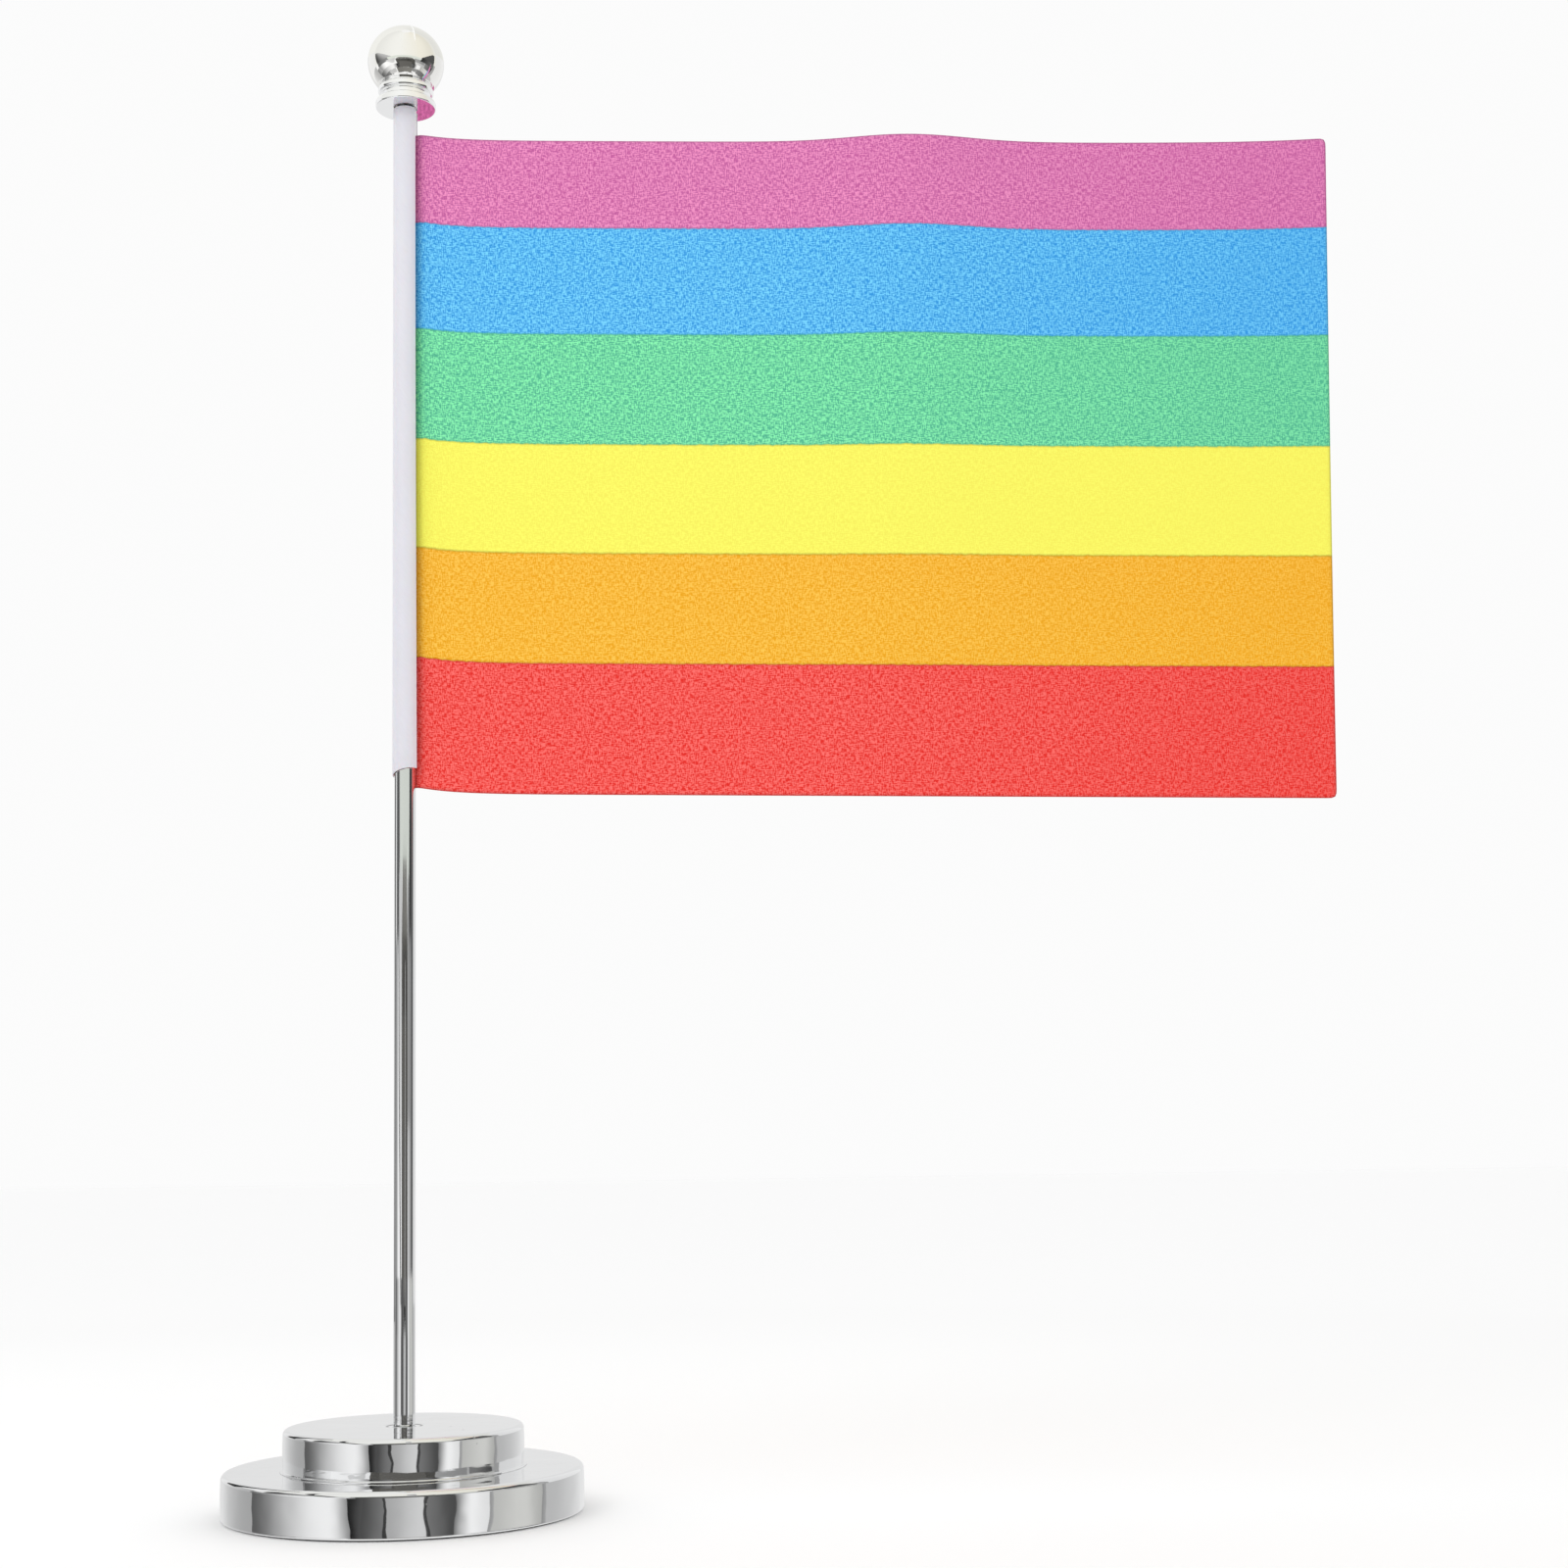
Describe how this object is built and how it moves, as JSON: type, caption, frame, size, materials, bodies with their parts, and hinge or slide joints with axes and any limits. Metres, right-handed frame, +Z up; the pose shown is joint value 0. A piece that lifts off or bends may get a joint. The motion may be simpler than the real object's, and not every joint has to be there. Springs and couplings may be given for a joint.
{
  "type": "desk flag stand",
  "caption": "Small table flag on a thin chromed pole with a ball finial, held by a white clip sleeve and standing on a stepped round chromed base.",
  "frame": {"origin": "centre of the base's underside, on the surface the stand rests on", "axes": "+Z up along the pole, +X from the pole towards the fly edge of the flag, -Y the side seen from the front"},
  "size_m": [0.2304, 0.072, 0.3102],
  "materials": {
    "foam": "matt closed-cell foam",
    "plain_steel": "plain zinc-plated steel",
    "cast_iron": "as cast",
    "chrome_plate": "polished chrome plate",
    "chrome_tube": "polished chrome plate",
    "finial_plate": "polished plate, slightly warm",
    "white_plastic": "satin extruded plastic",
    "flag_fabric": "printed plain-weave polyester in six coloured stripes"
  },
  "bodies": {
    "base": {"foot_pad": "foam", "bottom_plate": "plain_steel", "ballast_disc": "cast_iron", "lower_tier_shell": "chrome_plate", "upper_tier_shell": "chrome_plate", "pole_bush": "plain_steel"},
    "pole": {"pole_tube": "chrome_tube", "pole_stud": "plain_steel", "flat_washer": "plain_steel", "lock_washer": "plain_steel", "hex_nut": "plain_steel"},
    "flag": {"flag_sleeve": "white_plastic", "flag_cloth": "flag_fabric"},
    "finial": {"finial_collar": "finial_plate", "finial_ball": "finial_plate", "finial_spigot": "plain_steel"}
  },
  "joints": [
    {"name": "pole_turn", "type": "hinge", "parent": "base", "child": "pole", "pos_m": [0, 0, 0.0095], "axis": [0, 0, 1], "continuous": true},
    {"name": "sleeve_slide", "type": "slide", "parent": "pole", "child": "flag", "axis": [0, 0, 1], "range_m": [-0.126, 0]},
    {"name": "finial_pull", "type": "slide", "parent": "pole", "child": "finial", "axis": [0, 0, 1], "range_m": [0, 0.0115]}
  ]
}
